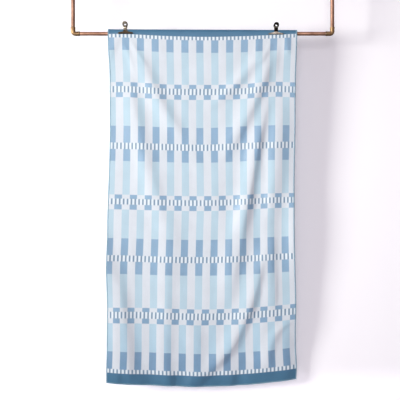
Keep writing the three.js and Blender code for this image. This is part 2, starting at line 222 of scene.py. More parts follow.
def newGroup(name, inputs, outputs):
    group = bpy.data.node_groups.new(name, "ShaderNodeTree")
    for label, kind, value in inputs:
        socket = group.interface.new_socket(name=label, in_out="INPUT", socket_type=kind)
        if value is not None:
            socket.default_value = value
    for label, kind in outputs:
        group.interface.new_socket(name=label, in_out="OUTPUT", socket_type=kind)
    return group, group.nodes.new("NodeGroupInput"), group.nodes.new("NodeGroupOutput")


def newMaterial(name):
    material = bpy.data.materials.new(name)
    material.use_nodes = True
    tree = material.node_tree
    return material, tree, tree.nodes["Principled BSDF"]


# cloth, measured flat: x across from its left side, y along from its bottom hem
towel = {
    "width": 800.0,
    "length": 1510.0,
    "thickness": 1.2,
    "columns": 126,
    "hangingRows": 232,
    "foldRows": 26,
    "flatAtBar": 1468.2,
    "barRadius": 7.95,
    "barClearance": 0.35,
    "barHeight": -180.0,
    "foldTopLeft": 19.0,
    "foldTopRight": 15.7,
    "overBarSteps": 180,
    "foldSettles": 120.0,  # how far below the bar folds, creases and ripples reach full height
    "creaseSettles": 30.0,
    "rippleSettles": 60.0,
    "foldEase": 0.35,  # share of a fold's length over which each end dies away
    "smallestRun": 0.1,
    "rippleHeight": 1.1,
    "rippleAcross": 75.0,
    "rippleAlong": 210.0,
    "rippleSeed": 3.7,
    "rippleNoise": (0.9, 2.1, 3),  # falling off, spacing and number of its octaves
    "cornerTurn": 54.0,
    "turnStarts": 330.0,
}

# places across that the tables of rises and drifts refer to
across = {
    "leftEdge": 0, "leftClip": 70, "leftMiddle": 235, "centre": 400,
    "rightMiddle": 560, "rightClip": 700, "rightEdge": 800,
}


def spreadRow(along, *values):  # one value at each place across, from the left edge to the right
    return dict(zip(across, values), along=along)


# how far a weft row stands above its own level at the centre
rises = [
    spreadRow(0, 22, 15.8, 6.7, 0, 3.5, 15.6, 27),
    spreadRow(320, 9, 8.8, 4.5, 0, 5.2, 15, 24),
    spreadRow(460, 9.2, 7.6, 2.5, 0, 5, 13, 19.3),
    spreadRow(791, 8, 6.5, 2, 0, 5, 12, 13.5),
    spreadRow(1075, 10, 9, 3.6, 0, 6, 11.2, 12),
    spreadRow(1223, 11.6, 11.6, 2.2, 0, 2.7, 13, 10),
    spreadRow(1456, 12, 12, 4, 0, 2.5, 8, 13),
]

# how far the slack in the cloth lets a warp line stand to the right of its even place
drifts = [
    spreadRow(0, 0, -4.2, -5.4, -4.9, -4, -2.6, 0),
    spreadRow(150, 0, -2.5, -5.8, -5.5, -1.2, -1.8, 0),
    spreadRow(304, 0, -3, -2.5, -1.2, -0.7, -1.2, 0),
    spreadRow(525, 0, 2, 5.2, 7.2, 6.2, 0.3, 0),
    spreadRow(775, 0, 3.5, 6.4, 9.4, 7.2, 3.7, 0),
    spreadRow(1020, 0, 0.8, 1.5, 2.2, 2.8, 0.8, 0),
    spreadRow(1225, 0, 0.3, 0.7, 3.3, 4.8, 2.2, 0),
    spreadRow(1425, 0, 2.2, 2.1, 4.3, 5.9, 5, 0),
]


def sideRow(along, left, right):
    return dict(along=along, left=left, right=right)


# where the two side hems hang
sides = [
    sideRow(0, -397, 391),
    sideRow(60, -397, 393),
    sideRow(130, -395.5, 388.5),
    sideRow(210, -396, 387),
    sideRow(340, -396.2, 388),
    sideRow(480, -400.5, 384),
    sideRow(600, -397.2, 381),
    sideRow(700, -396, 380.5),
    sideRow(900, -389, 382),
    sideRow(1070, -385.2, 385.3),
    sideRow(1190, -386, 385.5),
    sideRow(1290, -386.8, 387.3),
    sideRow(1400, -392.8, 391),
    sideRow(1510, -394, 393.5),
]


def foldRow(topX, topY, midX, midY, endX, endY, height, left, right):
    return dict(topX=topX, topY=topY, midX=midX, midY=midY, endX=endX, endY=endY,
                height=height, left=left, right=right)


# crest of each soft fold from top to bottom, its height and the widths of its two flanks
folds = [
    foldRow(84, 1450, 204, 1200, 350, 950, 7.5, 46, 34),  # left clip to the centre
    foldRow(60, 1400, 120, 1060, 256, 580, 7.5, 50, 36),  # left clip downwards
    foldRow(690, 1440, 576, 1300, 410, 1130, 8, 40, 34),  # right clip, upper sweep
    foldRow(712, 1440, 622, 1190, 465, 900, 11.5, 46, 30),  # right clip, long sweep
    foldRow(690, 1240, 632, 990, 552, 560, 12.5, 42, 22),  # right clip downwards
    foldRow(612, 860, 552, 580, 500, 280, 9, 50, 32),  # centre right, lower
    foldRow(728, 1260, 714, 900, 668, 520, 10, 36, 44),  # right side, upper
    foldRow(704, 680, 694, 460, 692, 250, 9, 40, 24),  # right side, lower
    foldRow(800, 860, 800, 610, 800, 380, 9, 34, 40),  # right hem turned forward
    foldRow(-14, 660, 0, 520, 12, 400, 6, 24, 26),  # left hem turned forward
    foldRow(-6, 600, 56, 330, 114, -160, 14, 110, 40),  # left side, lower
    foldRow(250, 520, 248, 170, 248, -160, 7, 40, 34),  # lower left, second
    foldRow(258, 780, 256, 580, 250, 350, 5, 42, 38),  # left of centre
    foldRow(684, 620, 546, 200, 290, -80, 15, 50, 24),  # lower sweep to the hem
    foldRow(372, 330, 376, 120, 380, -120, 6, 40, 38),  # lower centre
    foldRow(840, 280, 722, 212, 668, 40, 8, 30, 22),  # lower right rim
    foldRow(684, 360, 676, 150, 672, -160, 9, 60, 96),  # lower right corner turned back
    foldRow(756, 300, 752, 110, 752, -160, 4, 34, 30),  # lower right
]

# sharper creases that only the finished cloth has
creases = [
    foldRow(720, 500, 716, 400, 712, 290, 2.2, 9, 6),  # right side, a fine upright line
    foldRow(560, 190, 528, 150, 500, 120, 2.4, 12, 8),  # pinch above the lower sweep
    foldRow(60, 1438, 92, 1340, 108, 1270, 1.6, 12, 10),  # puckers under the left clip
    foldRow(84, 1442, 128, 1370, 168, 1310, 1.8, 12, 9),
    foldRow(44, 1466, 26, 1410, -10, 1330, 3.0, 22, 14),  # left corner drawn to its clip
    foldRow(690, 1442, 660, 1370, 622, 1310, 1.8, 9, 12),  # puckers under the right clip
    foldRow(716, 1438, 712, 1340, 706, 1260, 1.6, 10, 11),
    foldRow(754, 1470, 757, 1420, 762, 1350, 3.0, 14, 10),  # right of the right clip
    foldRow(636, 1450, 630, 1410, 618, 1370, 1.6, 12, 9),
    foldRow(512, 680, 504, 520, 498, 360, 2.2, 40, 20),  # beside the lower centre fold
    foldRow(52, 72, 50, 20, 50, -60, 3.2, 34, 13),  # puckers in the hem band
    foldRow(152, 84, 150, 20, 148, -60, 4.0, 26, 30),
    foldRow(276, 84, 272, 20, 270, -60, 4.6, 30, 15),
    foldRow(352, 64, 350, 20, 348, -60, 2.2, 20, 22),
    foldRow(534, 84, 530, 20, 528, -60, 4.6, 36, 15),
    foldRow(600, 72, 598, 20, 596, -60, 3.4, 20, 40),
    foldRow(790, 80, 780, 20, 776, -60, 5.0, 60, 40),
]


def overCloth(table, x, y):  # a table by places across and rows along, read at flat points
    x, y = np.broadcast_arrays(np.asarray(x, float), np.asarray(y, float))
    places = list(across.values())
    rows = np.array([curveThrough(places, [row[place] for place in across], x) for row in table])
    return curveThrough(column(table, "along"), rows, y)


def foldDepth(x, y, table):
    depth = np.zeros_like(x)
    for fold in table:
        t = (fold["topY"] - y) / (fold["topY"] - fold["endY"])
        crest = curveThrough([fold["endY"], fold["midY"], fold["topY"]],
                             [fold["endX"], fold["midX"], fold["topX"]], y)
        width = np.where(x < crest, fold["left"], fold["right"])
        swell = smoothStep(t / towel["foldEase"]) * smoothStep((1 - t) / towel["foldEase"])
        depth += fold["height"] * swell * np.exp(-((x - crest) / width) ** 2)
    return depth


def turnDepth(x, y):  # low down, the left corner hangs forward and the right one back
    return towel["cornerTurn"] * (0.5 - x / towel["width"]) * smoothStep(1 - y / towel["turnStarts"])


def rippleDepth(x, y):  # slight unevenness, longer down the cloth than across it
    t = towel
    depth = np.empty(x.shape)
    for at in np.ndindex(x.shape):
        point = Vector((x[at] / t["rippleAcross"], y[at] / t["rippleAlong"], t["rippleSeed"]))
        depth[at] = noise.fractal(point, *t["rippleNoise"])
    return t["rippleHeight"] * depth


def overBar(distance, halfDepth, height):  # path up the front of the bar, over it and down behind
    angle = np.linspace(0, math.pi, towel["overBarSteps"] + 1)
    outs, ups = -halfDepth * np.cos(angle), height * np.sin(angle)
    walked = np.concatenate([[0], np.cumsum(np.hypot(np.diff(outs), np.diff(ups)))])
    out = np.interp(distance, walked, outs)
    up = np.interp(distance, walked, ups) - max(distance - walked[-1], 0)
    return out, up


def clothRows():  # middle surface as rows of points, and each point's flat place
    t = towel
    halfDepth = t["barRadius"] + t["barClearance"] + t["thickness"] / 2
    flatX = np.linspace(0, t["width"], t["columns"] + 1)
    flatAtFront = t["flatAtBar"] - overCloth(rises, flatX, t["flatAtBar"])
    x = np.tile(flatX, (t["hangingRows"] + 1, 1))
    y = np.linspace(0, 1, t["hangingRows"] + 1)[:, None] * flatAtFront[None, :]
    below = flatAtFront[None, :] - y
    main = foldDepth(x, y, folds) * smoothStep(below / t["foldSettles"]) + turnDepth(x, y)
    fine = foldDepth(x, y, creases) * smoothStep(below / t["creaseSettles"])
    fine = fine + rippleDepth(x, y) * smoothStep(below / t["rippleSettles"])
    run = np.sqrt(np.maximum(np.diff(x, axis=1) ** 2 - np.diff(main, axis=1) ** 2, t["smallestRun"]))
    places = np.concatenate([np.zeros((len(x), 1)), np.cumsum(run, axis=1)], axis=1)
    left = curveThrough(column(sides, "along"), column(sides, "left"), y[:, 0])[:, None]
    right = curveThrough(column(sides, "along"), column(sides, "right"), y[:, -1])[:, None]
    places = left + places / places[:, -1:] * (right - left) + overCloth(drifts, x, y)
    level = t["barHeight"] - (t["flatAtBar"] - y) + overCloth(rises, x, y)
    hanging = np.stack([places, -halfDepth - main - fine, level], axis=2)
    flats = np.stack([x, y], axis=2)
    turned = np.empty((t["foldRows"], t["columns"] + 1, 3))
    turnedFlats = np.empty((t["foldRows"], t["columns"] + 1, 2))
    for i, at in enumerate(flatX):
        blend = at / t["width"]
        height = (1 - blend) * t["foldTopLeft"] + blend * t["foldTopRight"] - t["thickness"] / 2
        for j in range(t["foldRows"]):
            distance = (j + 1) / t["foldRows"] * (t["length"] - flatAtFront[i])
            out, up = overBar(distance, halfDepth, height)
            turned[j, i] = (hanging[-1, i, 0], out, t["barHeight"] + up)
            turnedFlats[j, i] = (at, flatAtFront[i] + distance)
    return np.concatenate([hanging, turned]), np.concatenate([flats, turnedFlats])


def surfaceFrames(rows):  # unit directions across, along and out of the cloth at each point
    acrossCloth = np.gradient(rows, axis=1)
    alongCloth = np.gradient(rows, axis=0)
    out = np.cross(acrossCloth, alongCloth)
    return [v / np.linalg.norm(v, axis=2, keepdims=True) for v in (acrossCloth, alongCloth, out)]


def makeCloth():
    rows, flats = clothRows()
    acrossCloth, alongCloth, out = surfaceFrames(rows)
    half = towel["thickness"] / 2
    rowCount, columnCount = rows.shape[:2]
    count = rowCount * columnCount
    points = np.concatenate([(rows + half * out).reshape(-1, 3), (rows - half * out).reshape(-1, 3)])
    index = np.arange(count).reshape(rowCount, columnCount)
    a, b, c, d = index[:-1, :-1], index[:-1, 1:], index[1:, 1:], index[1:, :-1]
    face = np.stack([a, b, c, d], axis=2).reshape(-1, 4)
    reverse = np.stack([a, d, c, b], axis=2).reshape(-1, 4) + count
    rim = []
    for line, flip in ((index[0], False), (index[-1], True), (index[:, 0], True), (index[:, -1], False)):
        p, q = line[:-1], line[1:]
        corners = [p, q, q + count, p + count] if flip else [p, p + count, q + count, q]
        rim.append(np.stack(corners, axis=1))
    faces = np.concatenate([face, reverse] + rim)
    piece = newMesh("towelCloth", points.tolist(), faces.tolist())
    mesh = piece.data
    uvLayer = mesh.uv_layers.new(name="flat")
    loops = np.empty(len(mesh.loops), dtype=np.int32)
    mesh.loops.foreach_get("vertex_index", loops)
    flatPlaces = np.concatenate([flats.reshape(-1, 2)] * 2) * mm
    uvLayer.data.foreach_set("uv", flatPlaces[loops].ravel())
    slots = np.zeros(len(faces), dtype=np.int32)
    slots[len(face):len(face) + len(reverse)] = 1
    mesh.polygons.foreach_set("material_index", slots)
    return piece, rows, (acrossCloth, alongCloth, out)


towelCloth, clothPoints, clothDirections = makeCloth()
print("cloth shaped:", len(towelCloth.data.polygons), "faces")


# weave: rows of the pattern from the bottom hem up, in flat millimetres
weave = {
    "pitch": 62.42,
    "firstStripe": 10.1,
    "stripeHalf": 0.24,
    "barPitch": 16.08,
    "firstBar": 15.3,
    "barHalf": 0.215,
    "edgeSoftness": 0.5,
    "threadPitch": 1.15,
    "yarnShade": 0.05,
    "streakShade": 0.035,  # uneven dye along each thread, and in wide clouds
    "cloudShade": 0.025,
    "wobble": 0.5,
    "hemShadeFades": (40.0, 360.0),  # heights over which the painted shade near the bottom hem gives way to the full colours
}
weaveRows = [
    ("band", 45.5), ("bars", 62.6), ("block", 136.2), ("pale", 254.6),
    ("chain", 275.8), ("bars", 303.3), ("chain", 320.4), ("pale", 460.4),
    ("block", 512.9), ("bars", 538.3), ("block", 609.6), ("pale", 729.6),
    ("chain", 750.6), ("bars", 774.4), ("chain", 791.3), ("pale", 930.0),
    ("block", 979.2), ("bars", 1005.4), ("block", 1074.6), ("pale", 1191.3),
    ("chain", 1211.3), ("bars", 1236.8), ("chain", 1253.8), ("pale", 1386.8),
    ("block", 1438.8), ("bars", 1453.5), ("band", 1520.0),
]
clothColours = {
    "white": linear(214, 222, 227),
    "between": linear(224, 234, 238),  # brighter ground between the small bars
    "pale": linear(184, 210, 221),
    "paleLow": linear(173, 206, 223),  # painted shade near the bottom hem, here and in blockLow
    "block": linear(138, 172, 198),
    "blockLow": linear(121, 158, 188),
    "bar": linear(121, 150, 172),
    "band": linear(69, 118, 148),
}


def weaveGroup():
    tree, given, result = newGroup(
        "weavePattern",
        [("Flat", "NodeSocketVector", None), ("Wash", "NodeSocketFloat", 0.0)],
        [("Color", "NodeSocketColor"), ("Thread", "NodeSocketFloat"), ("Float", "NodeSocketFloat")])
    place = given.outputs["Flat"]
    flat = addNode(tree, "ShaderNodeSeparateXYZ", {0: place})
    x = doMath(tree, "MULTIPLY", flat.outputs[0], 1000.0)
    y = doMath(tree, "MULTIPLY", flat.outputs[1], 1000.0)
    wobble = weave["wobble"]
    y = doMath(tree, "ADD", y, mapRange(tree, noiseAt(tree, place, 420.0, 2.0), 0.0, 1.0, -wobble, wobble))

    steps = [1.0]  # 1 above each boundary
    soft = weave["edgeSoftness"]
    for _, top in weaveRows[:-1]:
        steps.append(mapRange(tree, y, top - soft, top + soft))
    rowMasks = {}
    for i, (kind, _) in enumerate(weaveRows):
        above = steps[i + 1] if i + 1 < len(weaveRows) else 0.0
        mask = doMath(tree, "SUBTRACT", steps[i], above)
        rowMasks[kind] = doMath(tree, "ADD", rowMasks[kind], mask) if kind in rowMasks else mask

    def pingPong(first, pitch):  # distance from the nearest stripe's middle, as a share of the pitch
        phase = doMath(tree, "DIVIDE", doMath(tree, "SUBTRACT", x, weave[first]), weave[pitch])
        return doMath(tree, "PINGPONG", phase, 0.5)

    fromStripe = pingPong("firstStripe", "pitch")
    fromBar = pingPong("firstBar", "barPitch")
    softX, softBar = soft / weave["pitch"], soft / weave["barPitch"]
    half = weave["stripeHalf"]
    stripe = mapRange(tree, fromStripe, half - softX, half + softX, 1.0, 0.0)
    between = mapRange(tree, fromStripe, 0.5 - half - softX, 0.5 - half + softX)
    bar = mapRange(tree, fromBar, weave["barHalf"] - softBar, weave["barHalf"] + softBar, 1.0, 0.0)

    paleMask = doMath(tree, "MULTIPLY", rowMasks["pale"], stripe)
    blockMask = doMath(tree, "ADD", doMath(tree, "MULTIPLY", rowMasks["block"], stripe),
                       doMath(tree, "MULTIPLY", rowMasks["chain"], between))
    barMask = doMath(tree, "MULTIPLY", rowMasks["bars"], bar)
    dye = clothColours
    # painted shade: the pale and block colours darker towards the bottom hem
    fromHem = mapRange(tree, y, *weave["hemShadeFades"])
    paleColour = mixColour(tree, fromHem, dye["paleLow"], dye["pale"])
    blockColour = mixColour(tree, fromHem, dye["blockLow"], dye["block"])
    colour = mixColour(tree, rowMasks["bars"], dye["white"], dye["between"])
    colour = mixColour(tree, paleMask, colour, paleColour)
    colour = mixColour(tree, blockMask, colour, blockColour)
    colour = mixColour(tree, barMask, colour, dye["bar"])
    colour = mixColour(tree, rowMasks["band"], colour, dye["band"])

    # yarns: uneven dye along each thread, and the woven grid for the relief
    stretched = addNode(tree, "ShaderNodeVectorMath", {0: place, 1: (1500.0, 160.0, 1.0)},
                        operation="MULTIPLY")
    streak = noiseAt(tree, stretched.outputs[0], 1.0, 3.0)
    cloud = noiseAt(tree, place, 14.0, 4.0)
    streaks, clouds = weave["streakShade"], weave["cloudShade"]
    uneven = doMath(tree, "ADD", mapRange(tree, streak, 0.25, 0.75, -streaks, streaks),
                    mapRange(tree, cloud, 0.3, 0.7, -clouds, clouds))
    turns = 2 * math.pi / weave["threadPitch"]
    warp = doMath(tree, "SINE", doMath(tree, "MULTIPLY", x, turns))
    weft = doMath(tree, "SINE", doMath(tree, "MULTIPLY", y, turns))
    plain = doMath(tree, "MULTIPLY", warp, weft)  # over and under in the white ground
    floats = doMath(tree, "ADD", blockMask, doMath(tree, "ADD", barMask, rowMasks["band"]), clamp=True)
    grid = mixNumber(tree, floats, plain, warp)
    thread = doMath(tree, "ADD", doMath(tree, "MULTIPLY", grid, 0.5), streak)
    uneven = doMath(tree, "MULTIPLY", uneven, doMath(tree, "ADD", 1.0, floats))  # dyed yarns are less even
    uneven = doMath(tree, "ADD", uneven, doMath(tree, "MULTIPLY", grid, weave["yarnShade"]))
    lighter = doMath(tree, "ADD", 1.0, uneven)
    shaded = addNode(tree, "ShaderNodeVectorMath", {0: colour, "Scale": lighter}, operation="SCALE")
    colour = mixColour(tree, given.outputs["Wash"], shaded.outputs[0], dye["white"])
    tree.links.new(colour, result.inputs["Color"])
    tree.links.new(thread, result.inputs["Thread"])
    tree.links.new(floats, result.inputs["Float"])
    return tree


weavePattern = weaveGroup()


clothSurface = {
    "threadGloss": 0.06,
    "floatGloss": 0.46,  # how much smoother the long floats of dyed yarn are
    "reliefDepth": 0.0004,
    "sheen": 0.25,
    "sheenRoughness": 0.45,
    "specular": 0.6,
}


def clothMaterial(name, wash, roughness, bump):
    c = clothSurface
    material, tree, shader = newMaterial(name)
    pattern = addNode(tree, "ShaderNodeGroup", node_tree=weavePattern)
    tree.links.new(addNode(tree, "ShaderNodeUVMap", uv_map="flat").outputs[0], pattern.inputs["Flat"])
    pattern.inputs["Wash"].default_value = wash
    tree.links.new(pattern.outputs["Color"], shader.inputs["Base Color"])
    thread, swing = pattern.outputs["Thread"], c["threadGloss"]
    rough = mapRange(tree, thread, 0.0, 1.0, roughness - swing, roughness + swing)
    smoother = doMath(tree, "MULTIPLY", pattern.outputs["Float"], c["floatGloss"])
    rough = doMath(tree, "SUBTRACT", rough, smoother)
    tree.links.new(rough, shader.inputs["Roughness"])
    relief(tree, shader, thread, bump, c["reliefDepth"])
    shader.inputs["Sheen Weight"].default_value = c["sheen"]
    shader.inputs["Sheen Roughness"].default_value = c["sheenRoughness"]
    shader.inputs["Specular IOR Level"].default_value = c["specular"]
    return material


clothFace = clothMaterial("clothFace", 0.0, 0.86, 0.35)
clothReverse = clothMaterial("clothReverse", 0.45, 0.92, 0.6)
towelCloth.data.materials.append(clothFace)
towelCloth.data.materials.append(clothReverse)
settle(towelCloth, None, "cloth", "towel")


# overlocked edge: looped thread along both sides and both ends
overlock = {
    "pitch": 1.5,
    "strand": 0.5,
    "strandSides": 4,
    "standOff": 0.9,
    "colour": linear(150, 194, 212),
    "slant": (0.2, 0.1, 1.0),
    # half a loop: place in from the rim, share of the stand-off, share of the pitch
    "halfLoop": [(4.8, 0.62, 0.0), (2.64, 1.0, 0.14), (0.25, 0.95, 0.36)],
    "tip": (-0.62, 0.0, 0.5),
}


def edgePath():  # one line of points for each of the four edges, with the cloth's directions there
    acrossCloth, alongCloth, out = clothDirections
    lines = [
        (clothPoints[:, 0], acrossCloth[:, 0], out[:, 0]),
        (clothPoints[:, -1], -acrossCloth[:, -1], out[:, -1]),
        (clothPoints[0], alongCloth[0], out[0]),
        (clothPoints[-1], -alongCloth[-1], out[-1]),
    ]
    points, edges, inward, outward = [], [], [], []
    for line, inDirection, outDirection in lines:
        start = len(points)
        points += line.tolist()
        inward += inDirection.tolist()
        outward += outDirection.tolist()
        edges += [(i, i + 1) for i in range(start, len(points) - 1)]
    mesh = bpy.data.meshes.new("edgePath")
    mesh.from_pydata([tuple(mm * c for c in point) for point in points], edges, [])
    for name, values in (("inward", inward), ("outward", outward)):
        layer = mesh.attributes.new(name, "FLOAT_VECTOR", "POINT")
        layer.data.foreach_set("vector", [c for value in values for c in value])
    piece = bpy.data.objects.new("overlockEdge", mesh)
    scene.collection.objects.link(piece)
    return piece


def stitchMesh():  # one slanting loop round the rim: x inward, y out of the cloth, z along the edge
    off, pitch = overlock["standOff"], overlock["pitch"]
    half = overlock["halfLoop"]
    rows = half + [overlock["tip"]] + [(x, -share, 1 - t) for x, share, t in reversed(half)]
    path = [Vector((x, off * share, t * pitch)) for x, share, t in rows]
    loops = []
    for i, point in enumerate(path):
        run = (path[min(i + 1, len(path) - 1)] - path[max(i - 1, 0)]).normalized()
        sideways = run.cross(Vector(overlock["slant"])).normalized()
        other = run.cross(sideways)
        loop = []
        for k in range(overlock["strandSides"]):
            angle = 2 * math.pi * k / overlock["strandSides"]
            loop.append(point + overlock["strand"] * (math.cos(angle) * sideways + math.sin(angle) * other))
        loops.append(loop)
    return turnedOut(newMesh("overlockLoop", *skin(loops)))


def newTree(name, sockets, result):  # a geometry tree with its inputs, and their identifiers
    tree = bpy.data.node_groups.new(name, "GeometryNodeTree")
    ids = {}
    for label, kind in sockets:
        socket = tree.interface.new_socket(name=label, in_out="INPUT", socket_type="NodeSocket" + kind)
        ids[label] = socket.identifier
    tree.interface.new_socket(name=result, in_out="OUTPUT", socket_type="NodeSocketGeometry")
    return tree, ids, tree.nodes.new("NodeGroupInput"), tree.nodes.new("NodeGroupOutput")


def finishTree(tree, shape, material, result):  # instances made real and given their material
    real = addNode(tree, "GeometryNodeRealizeInstances", {"Geometry": shape})
    painted = addNode(tree, "GeometryNodeSetMaterial", {"Geometry": real.outputs[0], "Material": material})
    tree.links.new(painted.outputs[0], result.inputs[0])


def overlockTree(material):
    tree, ids, given, result = newTree(
        "overlockStitches", [("Edge", "Geometry"), ("Pitch", "Float"), ("Loop", "Object")], "Stitches")
    curve = addNode(tree, "GeometryNodeMeshToCurve", {"Mesh": given.outputs["Edge"]})
    spaced = addNode(tree, "GeometryNodeResampleCurve",
                     {"Curve": curve.outputs[0], "Length": given.outputs["Pitch"]}, mode="LENGTH")
    tangent = addNode(tree, "GeometryNodeInputTangent")
    inward = addNode(tree, "GeometryNodeInputNamedAttribute", {"Name": "inward"}, data_type="FLOAT_VECTOR")
    upright = addNode(tree, "FunctionNodeAlignEulerToVector", {"Vector": tangent.outputs[0]}, axis="Z")
    turned = addNode(tree, "FunctionNodeAlignEulerToVector",
                     {"Rotation": upright.outputs[0], "Vector": inward.outputs[0]}, axis="X", pivot_axis="Z")
    picked = addNode(tree, "GeometryNodeObjectInfo", {"Object": given.outputs["Loop"]})
    placed = addNode(tree, "GeometryNodeInstanceOnPoints", {
        "Points": spaced.outputs[0], "Instance": picked.outputs["Geometry"], "Rotation": turned.outputs[0]})
    finishTree(tree, placed.outputs[0], material, result)
    return tree, ids


def threadMaterial():
    material, tree, shader = newMaterial("overlockThread")
    fibre = noiseAt(tree, objectPlace(tree), 900.0, 2.0)
    colour = mixColour(tree, fibre, dimmed(overlock["colour"], 0.72), overlock["colour"])
    tree.links.new(colour, shader.inputs["Base Color"])
    tree.links.new(mapRange(tree, fibre, 0.2, 0.8, 0.6, 0.8), shader.inputs["Roughness"])
    relief(tree, shader, fibre, 0.4, 0.0002)
    shader.inputs["Sheen Weight"].default_value = 0.2
    return material


def makeOverlock():
    edge = edgePath()
    loop = stitchMesh()
    material = threadMaterial()
    tree, ids = overlockTree(material)
    stitches = edge.modifiers.new("stitches", "NODES")
    stitches.node_group = tree
    stitches[ids["Pitch"]] = overlock["pitch"] * mm
    stitches[ids["Loop"]] = loop
    applyModifiers(edge)
    bpy.data.objects.remove(loop)
    return settle(edge, material, "cloth")


overlockEdge = makeOverlock()
print("edge overlocked:", len(overlockEdge.data.polygons), "faces")


# metals: one group gives the uneven tone, the dulled patches and the fine relief
def wornMetalGroup():
    tree, given, result = newGroup(
        "wornMetal",
        [("Clean", "NodeSocketColor", None), ("Tarnish", "NodeSocketColor", None),
         ("Cover", "NodeSocketFloat", 0.5), ("Scale", "NodeSocketFloat", 60.0),
         ("Smooth", "NodeSocketFloat", 0.25), ("Dull", "NodeSocketFloat", 0.5)],
        [("Color", "NodeSocketColor"), ("Roughness", "NodeSocketFloat"), ("Height", "NodeSocketFloat")])
    place = objectPlace(tree)
    patch = noiseAt(tree, place, given.outputs["Scale"], 6.0, Roughness=0.62)
    speck = noiseAt(tree, place, 1400.0, 3.0)
    low = doMath(tree, "SUBTRACT", 0.95, given.outputs["Cover"])
    cover = mapRange(tree, patch, doMath(tree, "SUBTRACT", low, 0.18), doMath(tree, "ADD", low, 0.18))
    colour = mixColour(tree, cover, given.outputs["Clean"], given.outputs["Tarnish"])
    rough = mixNumber(tree, cover, given.outputs["Smooth"], given.outputs["Dull"])
    rough = doMath(tree, "ADD", rough, mapRange(tree, speck, 0.3, 0.7, -0.04, 0.04))
    height = doMath(tree, "ADD", doMath(tree, "MULTIPLY", patch, 0.6), doMath(tree, "MULTIPLY", speck, 0.4))
    tree.links.new(colour, result.inputs["Color"])
    tree.links.new(rough, result.inputs["Roughness"])
    tree.links.new(height, result.inputs["Height"])
    return tree


wornMetal = wornMetalGroup()


# what each metal looks like; scale is the size of its patches, cover the share that is tarnished, or the name
# of its table of tones by height
metals = {
    # the bar, the left dropper and the right dropper, with their flanges, are one copper in three tones:
    # painted light on the bar, painted shade on the left dropper
    "copperBar": dict(clean=(228, 178, 148), tarnish=(174, 128, 102), cover=0.42, scale=34.0,
                      smooth=0.44, dull=0.58, relief=0.12),
    "copperLeft": dict(clean=(176, 138, 116), tarnish=(126, 94, 76), cover=0.42, scale=34.0,
                       smooth=0.46, dull=0.6, relief=0.12),
    "copperRight": dict(clean=(196, 153, 130), tarnish=(140, 104, 84), cover=0.42, scale=34.0,
                        smooth=0.46, dull=0.6, relief=0.12),
    "solderedElbow": dict(clean=(214, 178, 132), tarnish=(136, 104, 72), cover=0.5, scale=70.0,
                          smooth=0.4, dull=0.56, relief=0.25),
    "solder": dict(clean=(150, 150, 132), tarnish=(84, 84, 68), cover=0.5, scale=220.0,
                   smooth=0.4, dull=0.6, relief=0.5),
    "agedBrass": dict(clean=(228, 216, 192), tarnish=(84, 72, 56), cover="leftDarkerJaw", scale=110.0,
                      smooth=0.24, dull=0.5, relief=0.3),
    # on the right clip the pale clean colour paints the highlights of its light bands
    "blackenedBrass": dict(clean=(182, 172, 156), tarnish=(34, 28, 22), cover="rightPaintedHighlights", scale=110.0,
                           smooth=0.34, dull=0.5, relief=0.3),
    "springSteel": dict(clean=(96, 92, 86), tarnish=(40, 37, 34), cover=0.5, scale=260.0,
                        smooth=0.3, dull=0.5, relief=0.2),
}
heightTones = {  # share of the darker colour at each height, from the jaw up; the left clip is darker at its jaw, and the right clip's light bands, on its shoulders and just above the spring, are painted highlights
    "leftDarkerJaw": [(-182, 0.72), (-171, 0.7), (-164, 0.42), (-130, 0.46)],
    "rightPaintedHighlights": [(-186, 0.36), (-173, 0.36), (-169, 0.9), (-157, 0.92), (-154.5, 0.3), (-152, 0.3),
                   (-149.5, 0.92), (-132, 0.92)],
}
metalness = 0.92
metalReliefDepth = 0.0003


def toneByHeight(tree, rows):
    height = addNode(tree, "ShaderNodeSeparateXYZ", {0: objectPlace(tree)}).outputs[2]
    low, high = rows[0][0], rows[-1][0]
    ramp = addNode(tree, "ShaderNodeValToRGB", {0: mapRange(tree, height, mm * low, mm * high)})
    stops = ramp.color_ramp.elements
    while len(stops) < len(rows):
        stops.new(0.5)
    for i, (at, share) in enumerate(rows):
        stops[i].position = (at - low) / (high - low)
        stops[i].color = (share, share, share, 1.0)
    return ramp.outputs[0]


def metalMaterial(name):
    row = metals[name]
    material, tree, shader = newMaterial(name)
    worn = addNode(tree, "ShaderNodeGroup", {
        "Clean": linear(*row["clean"]), "Tarnish": linear(*row["tarnish"]), "Scale": row["scale"],
        "Smooth": row["smooth"], "Dull": row["dull"]}, node_tree=wornMetal)
    if row["cover"] in heightTones:
        tree.links.new(toneByHeight(tree, heightTones[row["cover"]]), worn.inputs["Cover"])
    else:
        worn.inputs["Cover"].default_value = row["cover"]
    tree.links.new(worn.outputs["Color"], shader.inputs["Base Color"])
    tree.links.new(worn.outputs["Roughness"], shader.inputs["Roughness"])
    relief(tree, shader, worn.outputs["Height"], row["relief"], metalReliefDepth)
    shader.inputs["Metallic"].default_value = metalness
    return material


copperFinishes = {side.lower(): metalMaterial("copper" + side) for side in ("Bar", "Left", "Right")}
elbowFinish = metalMaterial("solderedElbow")
solderFinish = metalMaterial("solder")
clipFinishes = {"left": metalMaterial("agedBrass"), "right": metalMaterial("blackenedBrass")}
springFinish = metalMaterial("springSteel")


# copper rail: the bar and two droppers are plain pipe, drawn with fine sides
rail = {
    "dropperSpacing": 1080.0,
    "barHeight": -180.0,
    "pipeRadius": 7.95,
    "pipeSides": 64,
    "pipeSteps": 12,
    "endRound": 0.5,
    "endStep": 0.15,
}


